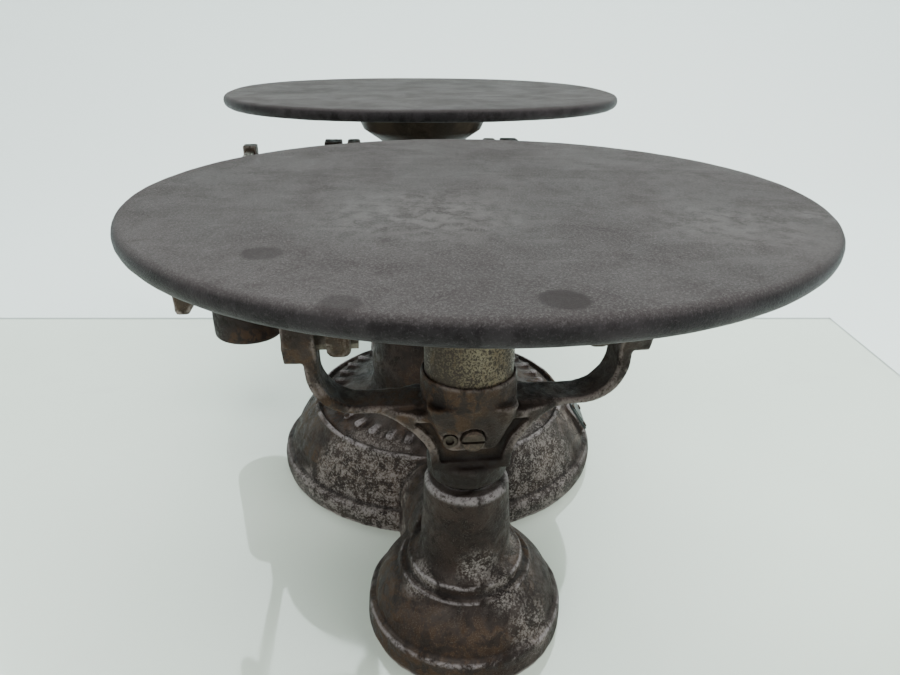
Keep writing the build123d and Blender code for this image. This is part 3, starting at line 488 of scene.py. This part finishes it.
def roughen(mesh, layers, seed):
    """Push points in and out along their normals with smooth noise, each layer (size, height)."""
    points = coordinates(mesh)
    normals = vertex_normals(mesh)
    push = np.zeros(len(points))
    for size, height in layers:
        offset = Vector((seed, 2 * seed, 3 * seed))
        push += height * np.array([noise.noise(Vector(p) / size + offset) for p in points])
    set_coordinates(mesh, points + normals * push[:, None])


def cast_piece(node, body, material, voxel, smooth, layers, seed):
    """A finer copy of a cast CAD node, with softened edges and an uneven skin, that stands for it.

    voxel and the layers' sizes and heights are in millimetres.
    """
    voxel = voxel * MM
    layers = [(size * MM, height * MM) for size, height in layers]
    piece = link_mesh(node + "_cast", NODES[node].data.copy())
    piece.data.materials.clear()
    remesh = piece.modifiers.new("remesh", "REMESH")
    remesh.mode = "VOXEL"
    remesh.voxel_size = voxel
    soften = piece.modifiers.new("soften", "SMOOTH")
    soften.factor = 0.5
    soften.iterations = smooth
    graph = bpy.context.evaluated_depsgraph_get()
    mesh = bpy.data.meshes.new_from_object(piece.evaluated_get(graph))
    piece.modifiers.clear()
    piece.data = mesh
    mark_wear(mesh, voxel)
    roughen(mesh, layers, seed)
    mesh.shade_smooth()
    mesh.materials.append(material)
    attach(piece, body)
    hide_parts(node)


def squared_circle(angle, half_x, half_y, power):
    c = math.cos(angle)
    s = math.sin(angle)
    x = math.copysign(abs(c) ** (2 / power), c) * half_x
    y = math.copysign(abs(s) ** (2 / power), s) * half_y
    return x, y


def plate_piece(node, body, power, material, seed):
    """A plate with its flared neck, lathed round the outline that its CAD node has."""
    low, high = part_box(node)
    centre = (low + high) / 2
    half_x = (high.x - low.x) / 2
    half_y = (high.y - low.y) / 2
    top = high.z
    short = min(half_x, half_y)
    # in millimetres: the lip round the face, the web's thickness, how far in the rings keep to the
    # outline's offset, and how far down the darker skin of the rim comes in
    lip = 3.4
    web = 5.8
    offset_band = 14
    skin_depth = 2.2
    around = 288
    across_face = 26
    # (distance in from the outline, height below the top), from the top face round to the recess below
    rim = [(lip, 0.0), (2.5, -0.12), (1.6, -0.5), (0.85, -1.15), (0.3, -2.1), (0.0, -3.5), (0.1, -4.9),
           (0.55, -6.2), (1.4, -7.3), (2.6, -8.0), (4.0, -8.2), (8.8, -8.2), (9.8, -7.6), (11.2, -6.1),
           (13.0, -web)]
    rings = []
    for step in range(across_face):
        rings.append(((1 - step / across_face) * (short - lip * MM) + lip * MM, 0.0))
    rings += [(inset * MM, z * MM) for inset, z in rim]
    verts = []
    marks = []
    for inset, z in rings:
        share = 1 - inset / short
        for k in range(around):
            angle = 2 * math.pi * k / around
            if inset < offset_band * MM:
                x, y = squared_circle(angle, half_x - inset, half_y - inset, power)
            else:
                x, y = squared_circle(angle, half_x * share, half_y * share, power)
            verts.append((centre.x + x, centre.y + y, top + z))
            marks.append(0.0 if z == 0 else min(1.0, -z / (skin_depth * MM)))
    # neck: a round flare, as (radius, height below the top), from the underside down to the post
    neck = [(64.0, -web), (57.0, -web - 5.5), (48.5, -29.3), (40.5, -34.8), (33.4, -39.6), (28.6, -44.2),
            (25.6, -49.0), (24.4, -53.2), (23.6, -54.3), (20.6, -54.3)]
    for radius, z in neck:
        for k in range(around):
            angle = 2 * math.pi * k / around
            x, y = squared_circle(angle, radius * MM, radius * MM, 2.0)
            verts.append((centre.x + x, centre.y + y, top + z * MM))
            marks.append(2.0)
    total = len(rings) + len(neck)
    faces = []
    for r in range(total - 1):
        for k in range(around):
            after = (k + 1) % around
            upper = r * around
            lower = upper + around
            faces.append((upper + k, lower + k, lower + after, upper + after))
    middle = len(verts)
    verts.append((centre.x, centre.y, top))
    marks.append(0.0)
    faces += [(middle, k, (k + 1) % around) for k in range(around)]
    mesh = bpy.data.meshes.new(node + "_turned")
    mesh.from_pydata(verts, [], faces)
    mesh.validate()
    piece = link_mesh(node + "_turned", mesh)
    rim_mark = mesh.attributes.new("rim", "FLOAT", "POINT")
    rim_mark.data.foreach_set("value", np.array(marks, np.float32))
    mark_wear(mesh, 1.2 * MM, 4)
    roughen(mesh, ((34 * MM, 0.16 * MM), (7 * MM, 0.07 * MM)), seed)
    mesh.shade_smooth()
    mesh.materials.append(material)
    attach(piece, body)
    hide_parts(node)


def dress(node, material):
    """Give a carried-over CAD node its finished material."""
    NODES[node].data.materials.clear()
    NODES[node].data.materials.append(material)


# ---------------------------------------------------------------- the object

make_camera()
make_lights()
make_stage()

# places on the base where the pale speckle gathers, as (point, inner, outer)
WORN_PATCHES = (((0.080, -0.054, 0.020), 0.034, 0.052), ((0.070, -0.050, 0.036), 0.014, 0.032),
                ((0.088, -0.046, 0.008), 0.010, 0.030), ((0.070, 0.062, 0.026), 0.020, 0.046),
                ((0.090, 0.044, 0.012), 0.012, 0.034), ((0.058, 0.052, 0.042), 0.010, 0.030),
                ((0.188, 0.028, 0.020), 0.002, 0.028), ((0.182, 0.016, 0.037), 0.003, 0.022),
                ((0.176, 0.004, 0.048), 0.002, 0.020), ((0.172, -0.024, 0.038), 0.002, 0.018),
                ((0.056, -0.097, 0.009), 0.006, 0.030), ((-0.060, 0.070, 0.026), 0.012, 0.040))
BASE_IRON = aged_iron(
    "base_iron", (0.010, 0.0060, 0.0046), (0.025, 0.0155, 0.0115), (0.225, 0.205, 0.19),
    speckle=0.40, rubbing=0.85, dust=0.22, shift=(0, 0, 0), patches=WORN_PATCHES, floor=0.7)
# the carriers' collars get painted shade, as they sit in shade under the strap
CARRIER_IRON = aged_iron(
    "carrier_iron", (0.011, 0.0070, 0.0054), (0.027, 0.0175, 0.0130), (0.17, 0.142, 0.122),
    speckle=0.32, rubbing=0.50, dust=0.14, shift=(2, 1, 0), shade_below=(0.116, 0.105, 0.85))
BEAM_IRON = aged_iron(
    "beam_iron", (0.022, 0.0155, 0.0108), (0.058, 0.042, 0.028), (0.21, 0.18, 0.15),
    speckle=0.55, rubbing=0.7, dust=0.16, shift=(5, 3, 1))
POISE_IRON = aged_iron(
    "poise_iron", (0.008, 0.005, 0.0043), (0.016, 0.0102, 0.0085), (0.075, 0.060, 0.052),
    speckle=0.05, rubbing=0.20, dust=0.08, shift=(1, 7, 4))
PLATE = plate_iron()
POST = plated_post()
BEARING = worn_steel("bearing_steel", (0.13, 0.115, 0.095), 0.5)
SCREW = worn_steel("screw_steel", (0.05, 0.04, 0.032), 0.8, 0.5)
BAR = worn_steel("bar_steel", (0.24, 0.22, 0.19), 0.6, 0.42)
STEM = worn_steel("stem_steel", (0.07, 0.06, 0.055), 0.7, 0.5)
TAG = worn_steel("tag_metal", (0.06, 0.07, 0.07), 0.2, 0.5)

cast_piece("base_casting", "base", BASE_IRON, 1.0, 3, ((14, 0.35), (5, 0.14)), 1.0)
for end in ("round", "oblong"):
    cast_piece(f"{end}_carrier", f"{end}_carrier", CARRIER_IRON, 0.8, 4,
               ((11, 0.25), (4, 0.12)), 3.0)
cast_piece("beam_casting", "beam", BEAM_IRON, 1.2, 4, ((12, 0.25),), 4.0)
for bracket in ("near_bar_bracket", "far_bar_bracket", "bar_end_stop"):
    cast_piece(bracket, "beam", BEAM_IRON, 0.8, 4, ((7, 0.2),), 5.0)
cast_piece("poise_weight", "poise_weight", POISE_IRON, 1.0, 4, ((16, 0.2),), 6.0)
cast_piece("poise_stirrup", "poise", POISE_IRON, 0.6, 3, ((8, 0.12),), 7.0)
plate_piece("round_plate", "round_plate", 2.0, PLATE, 8.0)
plate_piece("oblong_plate", "oblong_plate", 2.3, PLATE, 9.0)

for node, metal in {
    "left_fulcrum_steel": BEARING, "right_fulcrum_steel": BEARING, "rod_stud": BEARING,
    "left_fulcrum_knife": BEARING, "right_fulcrum_knife": BEARING,
    "round_end_knives": BEARING, "oblong_end_knives": BEARING,
    "round_carrier_steels": BEARING, "oblong_carrier_steels": BEARING,
    "round_stem_pin": BEARING, "oblong_stem_pin": BEARING, "poise_pin": BEARING,
    "blank_plate": TAG, "blank_plate_rivets": SCREW,
    "balance_screw": SCREW, "balance_nut": SCREW, "bracket_screws": SCREW, "poise_thumb_screw": SCREW,
    "round_set_screw": SCREW, "oblong_set_screw": SCREW, "round_dowel": SCREW, "oblong_dowel": SCREW,
    "tare_bar": BAR, "round_stem": STEM, "oblong_stem": STEM, "check_rod": STEM,
    "round_plate_post": POST, "oblong_plate_post": POST,
}.items():
    dress(node, metal)
